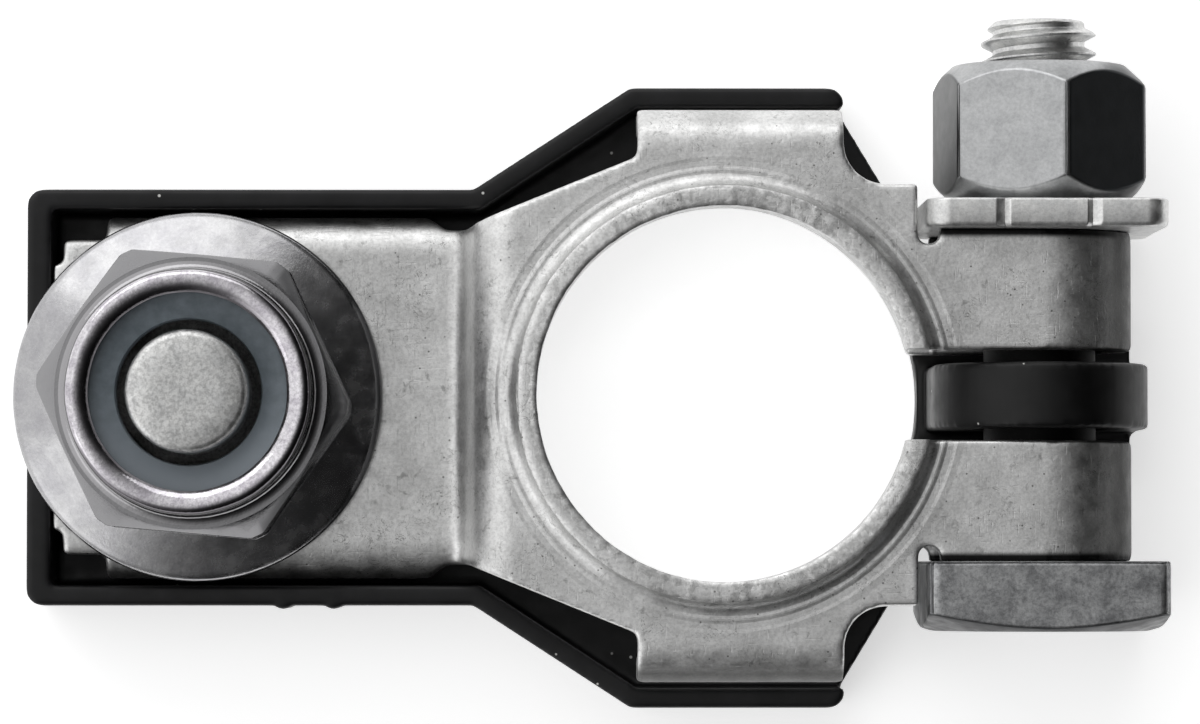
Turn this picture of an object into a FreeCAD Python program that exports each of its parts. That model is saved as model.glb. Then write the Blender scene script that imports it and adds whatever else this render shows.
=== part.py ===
import FreeCAD, Part
import math
import os

import Sketcher

# Battery terminal clamp with a cable stud, in millimetres.
# The origin is on the axis of the battery post, in the top face of the ring plate. +X points from the post
# to the clamp bolt, +Y along the clamp bolt to its nut, and +Z up. The stud stands on the -X side.

V = FreeCAD.Vector
doc = FreeCAD.newDocument("battery_terminal_clamp")

# Driving dimensions: name, value in millimetres (angles in degrees), what it measures
SIZES = [
    ("sheet_thickness", 1.4, "thickness of the folded strip"),
    ("bend_radius", 0.6, "inside radius of the pressed bends"),
    ("loop_radius", 3.35, "inside radius of the ears' loop round the clamp bolt"),
    ("bolt_distance", 16.5, "post axis to clamp bolt axis"),
    ("post_bore", 19.2, "diameter of the upper hole for the post"),
    ("lower_bore", 20.2, "diameter of the lower hole, nearer the post's wide foot"),
    ("collar_height", 1.45, "height of the raised collar above the ring plate"),
    ("collar_wall", 1.05, "width of the collar's end face"),
    ("collar_foot", 0.8, "radius of the hollow between collar and ring plate"),
    ("ear_gap", 4.64, "gap between the two ears"),
    ("ear_width", 6.18, "width of one ear along the clamp bolt"),
    ("shoulder_distance", 9.9, "post axis to the end of the shoulders"),
    ("shoulder_inset", 3.9, "side tab's outer face to the shoulder's edge"),
    ("relief_width", 1.15, "width of the relief cut between ear and shoulder"),
    ("relief_depth", 0.45, "depth of the relief cut's straight sides"),
    ("relief_radius", 0.65, "radius of the relief cut's end"),
    ("tab_reach", 14.7, "centre plane to the outer face of a side tab"),
    ("tab_length", 10.55, "length of a side tab"),
    ("tab_offset", 0.85, "post axis to the middle of the side tabs"),
    ("tab_foot", 2.5, "side tab's outer face to the tab's foot on the stud side"),
    ("tab_depth", 4.6, "height of a side tab's turned-down lip"),
    ("throat_radius", 2.1, "hollow corner between side tab and shoulder"),
    ("neck_distance", 13.1, "post axis to the neck's notch"),
    ("notch_depth", 0.73, "how far the neck's notch cuts in from the side flange's face"),
    ("notch_distance", 15.2, "post axis to the far end of the neck's notch"),
    ("notch_slant", 0.95, "length of the slanted end of the neck's notch"),
    ("step_distance", 13.0, "post axis to the middle of the step down"),
    ("step_run", 0.85, "how far the step's wall leans"),
    ("step_drop", 4.75, "ring plate to stud plate"),
    ("lower_end", 12.6, "post axis to the end of the lower leaf"),
    ("lower_inset", 2.4, "side tab's outer face to the lower leaf's edge"),
    ("stud_distance", 27.1, "post axis to stud axis"),
    ("plate_overhang", 7.5, "stud axis to the end flange's outer face"),
    ("plate_reach", 9.4, "centre plane to a side flange's outer face"),
    ("corner_length", 2.7, "end flange's outer face to the end of the side flanges"),
    ("flange_depth", 4.3, "height of the flanges under the stud plate"),
    ("corner_step", 0.5, "end flange's outer face to the cut corner of the stud plate"),
    ("corner_inset", 1.25, "side flange's outer face to the cut corner of the stud plate"),
    ("end_inset", 2.5, "side flange's outer face to the end flange's side"),
    ("tray_wall", 1.05, "thickness of the tray's side walls"),
    ("tray_end_wall", 1.25, "thickness of the tray's end wall"),
    ("tray_floor", 1.85, "thickness of the tray's floor"),
    ("tray_height", 6.3, "height of the tray's walls from its underside"),
    ("tray_end_play", 0.15, "play between the end flange and the tray's end wall"),
    ("tray_side_play", 0.35, "play between the strip's bent-down sides and the tray's walls"),
    ("tray_corner", 0.85, "rounding of the tray walls' corners"),
    ("nub_distance", 22.7, "post axis to the first moulding nub on the tray's side"),
    ("nub_spacing", 2.6, "distance between the two moulding nubs"),
    ("nub_radius", 0.45, "radius of a moulding nub"),
    ("nub_height", 0.2, "how far a moulding nub stands out of the tray's side"),
    ("slant_start", 12.85, "post axis to the slanted wall's narrow end"),
    ("slant_end", 4.7, "post axis to the slanted wall's wide end"),
    ("wall_distance", 6.4, "post axis to the free end of the tray's walls"),
    ("floor_reach", 9.1, "centre plane to the end of the floor's slanted edge"),
    ("floor_play", 0.3, "play between the floor and the clamp bolt's head and washer"),
    ("tray_bore", 20.9, "diameter of the hole in the tray's floor"),
    ("tongue_root", 12.7, "post axis to the root of the tongue"),
    ("tongue_reach", 4.55, "centre plane to the tongue's side"),
    ("tongue_distance", 21.7, "post axis to the tongue's end"),
    ("eye_width", 3.38, "width of the eye between the ears"),
    ("eye_radius", 5.6, "outer radius of the eye round the clamp bolt"),
    ("bolt_diameter", 6.0, "clamp bolt M6"),
    ("bolt_length", 28.0, "clamp bolt's length under the head"),
    ("bolt_tip", 0.7, "bevel at the clamp bolt's end"),
    ("head_across", 12.4, "clamp bolt's square head across the flats"),
    ("head_thickness", 3.6, "clamp bolt's head thickness"),
    ("head_face", 11.2, "diameter of the flat on the head's end"),
    ("head_slope", 16.5, "slope of the turned bevel at the head's corners"),
    ("head_edge", 0.5, "rounding of the head's four long edges"),
    ("washer_across", 12.4, "square washer across the flats"),
    ("washer_thickness", 1.5, "square washer's thickness"),
    ("washer_corner", 1.2, "rounding of the square washer's corners"),
    ("groove_spacing", 4.67, "distance between the washer's two grooves"),
    ("groove_width", 0.7, "width of a groove in the washer's edge"),
    ("groove_depth", 0.25, "depth of a groove in the washer's edge"),
    ("nut_flats", 10.0, "clamp nut across the flats"),
    ("nut_height", 7.2, "clamp nut's height"),
    ("nut_face", 8.9, "diameter of the flat on the clamp nut's ends"),
    ("nut_turn", 45, "angle of the clamp nut's first corner"),
    ("nut_slope", 43, "slope of the clamp nut's bevels"),
    ("stud_diameter", 8.0, "stud M8"),
    ("stud_length", 10.6, "stud's length above the stud plate"),
    ("dog_diameter", 6.2, "diameter of the stud's plain dog point"),
    ("thread_play", 0.15, "end of the stud's thread to the nylon ring above it"),
    ("dog_edge", 0.3, "bevel of the stud's dog point"),
    ("stud_head_thickness", 2.6, "thickness of the stud's rectangular head"),
    ("stud_head_play", 0.1, "play between the stud's head and the bends beside it"),
    ("lock_flange", 19.1, "diameter of the lock nut's flange"),
    ("lock_rim", 0.8, "height of the lock nut flange's rim"),
    ("lock_cone", 2.7, "height of the lock nut's cone above the stud plate"),
    ("lock_cone_top", 12.6, "diameter of the lock nut's cone at its top"),
    ("lock_flats", 14.1, "lock nut across the flats"),
    ("lock_turn", 55, "angle of the lock nut's first corner"),
    ("lock_corners", 15.9, "lock nut across its rounded corners"),
    ("lock_hex_height", 6.8, "top of the lock nut's hexagon above the stud plate"),
    ("lock_hex_face", 13.8, "diameter where the lock nut's hexagon starts to bevel"),
    ("lock_slope", 42, "slope of the lock nut's bevel"),
    ("lock_height", 9.9, "lock nut's whole height"),
    ("crimp_diameter", 12.7, "outer diameter of the lock nut's crimped collar"),
    ("crimp_opening", 10.0, "opening of the lock nut's crimped collar"),
    ("crimp_lip", 0.8, "thickness of the collar's lip over the nylon ring"),
    ("crimp_bevel", 0.4, "bevel on both sides of the collar's rolled edge"),
    ("insert_diameter", 11.0, "outer diameter of the nylon ring"),
    ("insert_bore", 7.36, "bore of the nylon ring"),
    ("insert_height", 1.6, "height of the nylon ring"),
    ("running_clearance", 0.05, "radial clearance of a shaft in its bore"),
    ("bolt_play", 0.35, "radial play of the clamp bolt in the eye"),
]

sheet = doc.addObject("Spreadsheet::Sheet", "sizes")
for row, (alias, value, meaning) in enumerate(SIZES, start=1):
    sheet.set(f"A{row}", meaning)
    sheet.set(f"B{row}", str(value))
    sheet.setAlias(f"B{row}", alias)
doc.recompute()

# Levels and reaches that follow from the driving dimensions, as formulas on the sheet
THICKNESS = "sizes.sheet_thickness"
LOOP = "(sizes.sheet_thickness + sizes.loop_radius)"
AXIS_LEVEL = f"(-{LOOP})"
LOWER_LEVEL = f"(-2 * {LOOP})"
PLATE_LEVEL = "(-sizes.step_drop)"
TRAY_BOTTOM = f"({LOWER_LEVEL} - sizes.tray_floor)"
EAR_REACH = "(sizes.ear_gap / 2 + sizes.ear_width)"
TAB_START = "(sizes.tab_offset - sizes.tab_length / 2)"
TAB_END = "(sizes.tab_offset + sizes.tab_length / 2)"
PLATE_END = "(sizes.stud_distance + sizes.plate_overhang)"
FLANGE_END = f"({PLATE_END} - sizes.corner_length)"
TRAY_END = f"({PLATE_END} + sizes.tray_end_play + sizes.tray_end_wall)"
TRAY_REACH = "(sizes.plate_reach + sizes.tray_side_play + sizes.tray_wall)"
TRAY_WIDE_REACH = "(sizes.tab_reach + sizes.tray_side_play + sizes.tray_wall)"
OUTER_BEND = "(sizes.bend_radius + sizes.sheet_thickness)"
FLOOR_FRONT = "(sizes.bolt_distance - max(sizes.head_across; sizes.washer_across) / 2 - sizes.floor_play)"
INSERT_TOP = "(sizes.lock_height - sizes.crimp_lip - sizes.running_clearance)"
INSERT_FOOT = f"({INSERT_TOP} - sizes.insert_height)"
SHOULDER_REACH = "(sizes.tab_reach - sizes.shoulder_inset)"
NOTCH_END = "(sizes.notch_distance - sizes.notch_slant)"


def number(formula):
    """The value of a formula on the sheet, in millimetres."""
    result = sheet.evalExpression(formula)
    return float(getattr(result, "Value", result))


def bind(thing, prop, formula):
    """Ties one property of an object to a formula on the sheet."""
    thing.setExpression(prop, formula)


def new_body(label):
    """A body whose label names its file."""
    body = doc.addObject("PartDesign::Body", label)
    body.Label = label
    return body


def new_sketch(body, name, plane, offset=("0", "0", "0")):
    """A sketch on one of the body's own origin planes, moved by formulas along the plane's own axes."""
    sketch = body.newObject("Sketcher::SketchObject", name)
    face = next(item for item in body.Origin.OriginFeatures if item.Role == plane)
    sketch.AttachmentSupport = [(face, "")]
    sketch.MapMode = "FlatFace"
    for axis, formula in zip("xyz", offset):
        if formula != "0":
            bind(sketch, f"AttachmentOffset.Base.{axis}", formula)
    return sketch


def arc_between(start, end, radius, turn):
    """The short arc from start to end that turns left (+1) or right (-1)."""
    chord = end - start
    height = math.sqrt(max(radius**2 - (chord.Length / 2) ** 2, 0))
    side = V(-chord.y, chord.x, 0).normalize() * (height * turn)
    centre = (start + end) / 2 + side
    first, last = (start, end) if turn > 0 else (end, start)
    angles = [math.atan2(p.y - centre.y, p.x - centre.x) for p in (first, last)]
    return Part.ArcOfCircle(Part.Circle(centre, V(0, 0, 1), radius), angles[0], angles[1])


def fix_point(sketch, geometry, end, formula_x, formula_y):
    """Holds one end of a sketch element at two formulas, measured from the sketch's origin."""
    for kind, axis, formula in (("DistanceX", -2, formula_x), ("DistanceY", -1, formula_y)):
        if formula == "0":
            sketch.addConstraint(Sketcher.Constraint("PointOnObject", geometry, end, axis))
            continue
        place = Sketcher.Constraint(kind, -1, 1, geometry, end, number(formula))
        bind(sketch, f"Constraints[{sketch.addConstraint(place)}]", formula)


def draw(sketch, path):
    """Draws a closed outline through the path's points.

    Each entry is (x, y) for a straight side that ends there, or (x, y, radius, turn) for an arc that ends
    there and turns left (+1) or right (-1).
    """
    points = [V(number(step[0]), number(step[1]), 0) for step in path]
    ends = []
    for index, step in enumerate(path):
        start, end = points[index - 1], points[index]
        if len(step) == 2:
            ends.append((sketch.addGeometry(Part.LineSegment(start, end), False), 1, 2))
            continue
        arc = arc_between(start, end, number(step[2]), step[3])
        geometry = sketch.addGeometry(arc, False)
        ends.append((geometry, 1, 2) if step[3] > 0 else (geometry, 2, 1))
        size = sketch.addConstraint(Sketcher.Constraint("Radius", geometry, number(step[2])))
        bind(sketch, f"Constraints[{size}]", step[2])
    for index, step in enumerate(path):
        geometry, _, finish = ends[index]
        following, begin, _ = ends[(index + 1) % len(path)]
        sketch.addConstraint(Sketcher.Constraint("Coincident", geometry, finish, following, begin))
        fix_point(sketch, geometry, finish, step[0], step[1])


def draw_circle(sketch, formula_x, formula_y, radius):
    """Draws a circle whose centre and radius are formulas."""
    centre = V(number(formula_x), number(formula_y), 0)
    geometry = sketch.addGeometry(Part.Circle(centre, V(0, 0, 1), number(radius)), False)
    fix_point(sketch, geometry, 3, formula_x, formula_y)
    size = sketch.addConstraint(Sketcher.Constraint("Radius", geometry, number(radius)))
    bind(sketch, f"Constraints[{size}]", radius)


def pad(body, name, sketch, length, midplane=False, reverse=False):
    """Adds the sketch's outline, as thick as the formula says."""
    feature = body.newObject("PartDesign::Pad", name)
    feature.Profile = sketch
    bind(feature, "Length", length)
    feature.Midplane = midplane
    feature.Reversed = reverse
    doc.recompute()
    return feature


def cut_through(body, name, sketch, midplane=True, reverse=False):
    """Cuts the sketch's outline away, right through the body."""
    feature = body.newObject("PartDesign::Pocket", name)
    feature.Profile = sketch
    feature.Type = "ThroughAll"
    feature.Midplane = midplane
    feature.Reversed = reverse
    doc.recompute()
    return feature


def turned(body, name, sketch, kind="PartDesign::Revolution"):
    """Turns the sketch's outline round the sketch's own upright axis, as added or cut material."""
    feature = body.newObject(kind, name)
    feature.Profile = sketch
    feature.ReferenceAxis = (sketch, ["V_Axis"])
    feature.Angle = 360
    doc.recompute()
    return feature


def rounded(body, name, base, radius, wanted, kind="PartDesign::Fillet"):
    """Rounds, or bevels, the edges of the base feature whose middle the test wants."""
    edges = []
    for index, edge in enumerate(base.Shape.Edges, start=1):
        middle = edge.valueAt((edge.FirstParameter + edge.LastParameter) / 2)
        if wanted(edge, middle):
            edges.append(f"Edge{index}")
    if not edges:
        raise RuntimeError(f"{name} found no edge")
    feature = body.newObject(kind, name)
    feature.Base = (base, edges)
    bind(feature, "Radius" if kind == "PartDesign::Fillet" else "Size", radius)
    doc.recompute()
    return feature


def near(value, formula, within=0.02):
    """Whether a coordinate lies on the level that the formula gives."""
    return abs(value - number(formula)) < within


def runs_along(edge, direction):
    """Whether an edge is straight and parallel to a direction."""
    if not isinstance(edge.Curve, (Part.Line, Part.LineSegment)):
        return False
    return abs(abs(edge.tangentAt(edge.FirstParameter).dot(direction)) - 1) < 1e-6


def mirrored_path(upper_half):
    """A closed outline from its half above the centre line, listed from right to left."""
    arcs_back = [step[2:] for step in upper_half[1:]] + [()]
    lower_half = [(step[0], f"-({step[1]})", *arc) for step, arc in zip(upper_half, arcs_back)]
    return upper_half + lower_half[::-1]


def hexagon(across, turn):
    """The corners of a hexagon, from its size across the flats and the angle of its first corner."""
    reach = f"{across} / 2 / cos(30 deg)"
    angles = [f"({turn} + {60 * corner}) * 1 deg" for corner in range(6)]
    return [(f"{reach} * cos({angle})", f"{reach} * sin({angle})") for angle in angles]


def place(body, formulas, rotation=None):
    """Puts a body at three formulas, turned as its fastener points."""
    if rotation:
        body.Placement.Rotation = rotation
    for axis, formula in zip("xyz", formulas):
        if formula != "0":
            bind(body, f"Placement.Base.{axis}", formula)
    doc.recompute()


UPRIGHT_TO_Y = FreeCAD.Rotation(V(1, 0, 0), -90)
FAR = f"(2 * {TRAY_END})"


def clamp_plan():
    """The strip's outline from above: ears, shoulders, side tabs, neck and stud plate."""
    throat = "sizes.throat_radius"
    relief = f"{EAR_REACH} - sizes.relief_depth"
    neck = "sizes.plate_reach - sizes.notch_depth"
    corner = "sizes.plate_reach - sizes.corner_inset"
    end = "sizes.plate_reach - sizes.end_inset"
    return mirrored_path(
        [
            (f"sizes.bolt_distance + 2 * {LOOP}", EAR_REACH),
            ("sizes.shoulder_distance + sizes.relief_width", EAR_REACH),
            ("sizes.shoulder_distance + sizes.relief_width", relief),
            ("sizes.shoulder_distance", relief, "sizes.relief_radius", -1),
            ("sizes.shoulder_distance", SHOULDER_REACH),
            (f"{TAB_END} + {throat}", SHOULDER_REACH),
            (TAB_END, f"{SHOULDER_REACH} + {throat}", throat, -1),
            (TAB_END, "sizes.tab_reach"),
            (TAB_START, "sizes.tab_reach"),
            (TAB_START, "sizes.tab_reach - sizes.tab_foot"),
            ("-sizes.neck_distance", neck),
            (f"-{NOTCH_END}", neck),
            (f"-{NOTCH_END}", "sizes.plate_reach"),
            (f"-{FLANGE_END}", "sizes.plate_reach"),
            (f"-{FLANGE_END}", corner),
            (f"-{PLATE_END} + sizes.corner_step", corner),
            (f"-{PLATE_END} + sizes.corner_step", end),
            (f"-{PLATE_END} - {THICKNESS}", end),
        ]
    )


def strip_side():
    """The folded strip from the side: stud plate, step, ring plate, loop and lower leaf."""
    slope = "(sizes.step_run / sizes.step_drop)"
    wall = f"({THICKNESS} * sqrt(1 + {slope} * {slope}))"
    step_top = "(-sizes.step_distance + sizes.step_run / 2)"
    step_foot = "(-sizes.step_distance - sizes.step_run / 2)"
    under_plate = f"({PLATE_LEVEL} - {THICKNESS})"
    flange_foot = f"({PLATE_LEVEL} - sizes.flange_depth)"
    flange_inside = f"(-{PLATE_END} + {THICKNESS})"
    return [
        (f"-{PLATE_END}", flange_foot),
        (f"-{PLATE_END}", PLATE_LEVEL),
        (step_foot, PLATE_LEVEL),
        (step_top, "0"),
        ("sizes.bolt_distance", "0"),
        (f"sizes.bolt_distance + {LOOP}", AXIS_LEVEL, LOOP, -1),
        ("sizes.bolt_distance", LOWER_LEVEL, LOOP, -1),
        ("-sizes.lower_end", LOWER_LEVEL),
        ("-sizes.lower_end", f"{LOWER_LEVEL} + {THICKNESS}"),
        ("sizes.bolt_distance", f"{LOWER_LEVEL} + {THICKNESS}"),
        ("sizes.bolt_distance + sizes.loop_radius", AXIS_LEVEL, "sizes.loop_radius", 1),
        ("sizes.bolt_distance", f"-{THICKNESS}", "sizes.loop_radius", 1),
        (f"{step_top} - {THICKNESS} * {slope} + {wall}", f"-{THICKNESS}"),
        (f"{step_foot} - {THICKNESS} * {slope} + {wall}", under_plate),
        (flange_inside, under_plate),
        (flange_inside, flange_foot),
    ]


def make_clamp_body():
    """The folded strip, trimmed to its plan, with tabs, flanges, holes, collar and slit."""
    body = new_body("clamp_body")
    side = new_sketch(body, "StripSide", "XZ_Plane")
    draw(side, strip_side())
    pad(body, "Strip", side, "2 * sizes.tab_reach", midplane=True)

    plan = new_sketch(body, "StripPlan", "XY_Plane")
    draw(plan, clamp_plan())
    draw(plan, [(FAR, FAR), (f"-{FAR}", FAR), (f"-{FAR}", f"-{FAR}"), (FAR, f"-{FAR}")])
    cut_through(body, "TrimToPlan", plan)

    for side_name, sign in (("Left", ""), ("Right", "-")):
        leaf = new_sketch(body, f"LowerLeafEdge{side_name}", "XY_Plane", ("0", "0", AXIS_LEVEL))
        inner, outer = f"{sign}(sizes.tab_reach - sizes.lower_inset)", f"{sign}2 * sizes.tab_reach"
        draw(leaf, [(FAR, inner), (FAR, outer), (f"-{FAR}", outer), (f"-{FAR}", inner)])
        cut_through(body, f"TrimLowerLeaf{side_name}", leaf, midplane=False)

    for side_name, sign in (("Left", ""), ("Right", "-")):
        tab = new_sketch(body, f"TabLip{side_name}", "XY_Plane")
        outer = f"{sign}sizes.tab_reach"
        inner = f"{sign}(sizes.tab_reach - {THICKNESS})"
        draw(tab, [(TAB_END, outer), (TAB_START, outer), (TAB_START, inner), (TAB_END, inner)])
        pad(body, f"Tab{side_name}", tab, "sizes.tab_depth", reverse=True)
        flange = new_sketch(body, f"FlangeLip{side_name}", "XY_Plane", ("0", "0", PLATE_LEVEL))
        outer = f"{sign}sizes.plate_reach"
        inner = f"{sign}(sizes.plate_reach - {THICKNESS})"
        start, end = f"-{NOTCH_END}", f"-{FLANGE_END}"
        draw(flange, [(start, outer), (end, outer), (end, inner), (start, inner)])
        last = pad(body, f"Flange{side_name}", flange, "sizes.flange_depth", reverse=True)

    round_bends(body, last)
    slants = new_sketch(body, "NotchSlants", "XY_Plane")
    start, end = "-(sizes.notch_distance + sizes.notch_slant)", f"-{NOTCH_END}"
    for sign in ("", "-"):
        inner = f"{sign}(sizes.plate_reach - sizes.notch_depth)"
        outer = f"{sign}(sizes.plate_reach + sizes.notch_depth)"
        draw(slants, [(start, outer), (end, inner), (end, outer)])
    cut_through(body, "CutNotchSlants", slants)
    return add_collar_and_holes(body)


def round_bends(body, base):
    """Rounds the outside of every bend, and then its inside."""
    along_x, along_y = V(1, 0, 0), V(0, 1, 0)
    step_top = "-sizes.step_distance + sizes.step_run / 2"
    step_foot = "-sizes.step_distance - sizes.step_run / 2"

    def outside(edge, middle):
        if runs_along(edge, along_x):
            on_tab = near(abs(middle.y), "sizes.tab_reach") and near(middle.z, "0")
            on_plate = near(abs(middle.y), "sizes.plate_reach") and near(middle.z, PLATE_LEVEL)
            return on_tab or on_plate
        return runs_along(edge, along_y) and near(middle.z, "0") and near(middle.x, step_top)

    def inside(edge, middle):
        if runs_along(edge, along_y):
            return near(middle.z, PLATE_LEVEL) and near(middle.x, step_foot)
        if not runs_along(edge, along_x):
            return False
        tab_inside = f"sizes.tab_reach - {THICKNESS}"
        plate_inside = f"sizes.plate_reach - {THICKNESS}"
        in_tab = near(abs(middle.y), tab_inside) and near(middle.z, f"-{THICKNESS}")
        under = f"{PLATE_LEVEL} - {THICKNESS}"
        return in_tab or (near(abs(middle.y), plate_inside) and near(middle.z, under))

    bends = rounded(body, "OutsideBends", base, OUTER_BEND, outside)
    return rounded(body, "InsideBends", bends, "sizes.bend_radius", inside)


def add_collar_and_holes(body):
    """The raised collar round the post, both post holes, the stud's hole and the slit between the ears."""
    bore, wall = "sizes.post_bore / 2", "sizes.post_bore / 2 + sizes.collar_wall"
    foot = f"{wall} + sizes.collar_foot"
    collar = new_sketch(body, "CollarProfile", "XZ_Plane")
    draw(
        collar,
        [
            (bore, f"-{THICKNESS} / 2"),
            (foot, f"-{THICKNESS} / 2"),
            (foot, "0"),
            (wall, "sizes.collar_foot", "sizes.collar_foot", -1),
            (wall, "sizes.collar_height"),
            (bore, "sizes.collar_height"),
        ],
    )
    turned(body, "Collar", collar)

    holes = new_sketch(body, "PostHole", "XY_Plane")
    draw_circle(holes, "0", "0", bore)
    draw_circle(holes, "-sizes.stud_distance", "0", "sizes.stud_diameter / 2 + sizes.running_clearance")
    cut_through(body, "Holes", holes)
    wide = new_sketch(body, "LowerPostHole", "XY_Plane", ("0", "0", AXIS_LEVEL))
    draw_circle(wide, "0", "0", "sizes.lower_bore / 2")
    cut_through(body, "LowerHole", wide, midplane=False)

    slit = new_sketch(body, "SlitPlan", "XY_Plane")
    half = "sizes.ear_gap / 2"
    end = f"sizes.bolt_distance + 2 * {LOOP}"
    draw(slit, [(end, f"-{half}"), (end, half), (bore + " / 2", half), (bore + " / 2", f"-{half}")])
    cut_through(body, "Slit", slit)
    return body


def make_insulator_base():
    """The plastic tray with its walls, its tongue and the eye between the ears."""
    body = new_body("insulator_base")
    outside_path = [
        ("sizes.wall_distance", TRAY_WIDE_REACH),
        ("-sizes.slant_end", TRAY_WIDE_REACH),
        ("-sizes.slant_start", TRAY_REACH),
        (f"-{TRAY_END}", TRAY_REACH),
    ]
    floor = new_sketch(body, "FloorPlan", "XY_Plane", ("0", "0", TRAY_BOTTOM))
    draw(
        floor,
        mirrored_path(
            [
                ("sizes.tongue_distance", "sizes.tongue_reach"),
                ("sizes.tongue_root", "sizes.tongue_reach"),
                (FLOOR_FRONT, f"{EAR_REACH} - sizes.floor_play"),
                (FLOOR_FRONT, "sizes.floor_reach"),
                ("sizes.wall_distance", f"{TRAY_WIDE_REACH} - sizes.tray_wall"),
                *outside_path,
            ]
        ),
    )
    pad(body, "Floor", floor, "sizes.tray_floor")

    # Inside a slanted corner, a wall's inner corner lies further right by its thickness times the tangent
    # of half the slant's angle.
    rise = f"({TRAY_WIDE_REACH} - {TRAY_REACH})"
    slant = f"atan({rise} / (sizes.slant_start - sizes.slant_end))"
    shift = f"sizes.tray_wall * tan({slant} / 2)"
    wide_inside = f"{TRAY_WIDE_REACH} - sizes.tray_wall"
    narrow_inside = f"{TRAY_REACH} - sizes.tray_wall"
    end_inside = f"-{TRAY_END} + sizes.tray_end_wall"
    inside_path = [
        ("sizes.wall_distance", wide_inside),
        (f"-sizes.slant_end + {shift}", wide_inside),
        (f"-sizes.slant_start + {shift}", narrow_inside),
        (end_inside, narrow_inside),
    ]
    walls = new_sketch(body, "WallPlan", "XY_Plane", ("0", "0", TRAY_BOTTOM))
    outer = mirrored_path(outside_path)
    inner = mirrored_path(inside_path)
    draw(walls, outer + list(reversed(inner)))
    last = pad(body, "Walls", walls, "sizes.tray_height")

    def corner(edge, middle):
        if not runs_along(edge, V(0, 0, 1)):
            return False
        at_end = near(middle.x, f"-{TRAY_END}") and near(abs(middle.y), TRAY_REACH)
        at_wall = near(middle.x, "sizes.wall_distance") and near(abs(middle.y), TRAY_WIDE_REACH)
        return at_end or at_wall

    rounded(body, "WallCorners", last, "sizes.tray_corner", corner)
    nubs = new_sketch(body, "NubPlan", "XY_Plane", ("0", "0", TRAY_BOTTOM))
    beside = f"-({TRAY_REACH} + sizes.nub_height - sizes.nub_radius)"
    for distance in ("sizes.nub_distance", "(sizes.nub_distance - sizes.nub_spacing)"):
        draw_circle(nubs, f"-{distance}", beside, "sizes.nub_radius")
    pad(body, "Nubs", nubs, "sizes.tray_height")

    eye = new_sketch(body, "EyeProfile", "XZ_Plane")
    left, right = "sizes.bolt_distance - sizes.eye_radius", "sizes.bolt_distance + sizes.eye_radius"
    eye_top = f"{AXIS_LEVEL} + sizes.eye_radius"
    root = f"{LOWER_LEVEL} - sizes.tray_floor / 2"
    draw(
        eye,
        [
            (left, root),
            (right, root),
            (right, AXIS_LEVEL),
            ("sizes.bolt_distance", eye_top, "sizes.eye_radius", 1),
            (left, AXIS_LEVEL, "sizes.eye_radius", 1),
        ],
    )
    pad(body, "Eye", eye, "sizes.eye_width", midplane=True)
    bolt_hole = new_sketch(body, "EyeHole", "XZ_Plane")
    draw_circle(bolt_hole, "sizes.bolt_distance", AXIS_LEVEL, "sizes.bolt_diameter / 2 + sizes.bolt_play")
    cut_through(body, "BoltHole", bolt_hole)
    post_hole = new_sketch(body, "FloorHole", "XY_Plane")
    draw_circle(post_hole, "0", "0", "sizes.tray_bore / 2")
    cut_through(body, "PostHoleInFloor", post_hole)
    return body


def square(across):
    """The corners of a square about the origin."""
    half = f"{across} / 2"
    return mirrored_path([(half, half), (f"-{half}", half)])


def is_corner_edge(across):
    """A test for the four upright edges of a square block."""
    return lambda edge, middle: runs_along(edge, V(0, 0, 1)) and near(abs(middle.x), f"{across} / 2")


def bevel_profile(sketch, face, height, slope, reach, upward=True):
    """A triangle outside a turned bevel: from the end face's edge out to the reach, and back by the slope."""
    depth = f"({reach} - {face} / 2) * tan({slope} * 1 deg)"
    sign = "-" if upward else "+"
    draw(sketch, [(f"{face} / 2", height), (reach, f"{height} {sign} {depth}"), (reach, height)])


def make_clamp_bolt():
    """The clamp bolt: a square head with turned corners, and a plain shank as thick as its thread."""
    body = new_body("clamp_bolt")
    head = new_sketch(body, "HeadPlan", "XY_Plane")
    draw(head, square("sizes.head_across"))
    block = pad(body, "Head", head, "sizes.head_thickness", reverse=True)
    rounded(body, "HeadEdges", block, "sizes.head_edge", is_corner_edge("sizes.head_across"))
    bevel = new_sketch(body, "HeadBevel", "XZ_Plane")
    foot = "-sizes.head_thickness"
    bevel_profile(bevel, "sizes.head_face", foot, "sizes.head_slope", "sizes.head_across", upward=False)
    turned(body, "TurnedCorners", bevel, "PartDesign::Groove")
    shank = new_sketch(body, "ShankPlan", "XY_Plane")
    draw_circle(shank, "0", "0", "sizes.bolt_diameter / 2")
    last = pad(body, "Shank", shank, "sizes.bolt_length")
    tip = lambda edge, middle: near(edge.CenterOfMass.z, "sizes.bolt_length")
    rounded(body, "Tip", last, "sizes.bolt_tip", tip, "PartDesign::Chamfer")
    place(body, ("sizes.bolt_distance", f"-{EAR_REACH}", AXIS_LEVEL), UPRIGHT_TO_Y)
    return body


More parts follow.
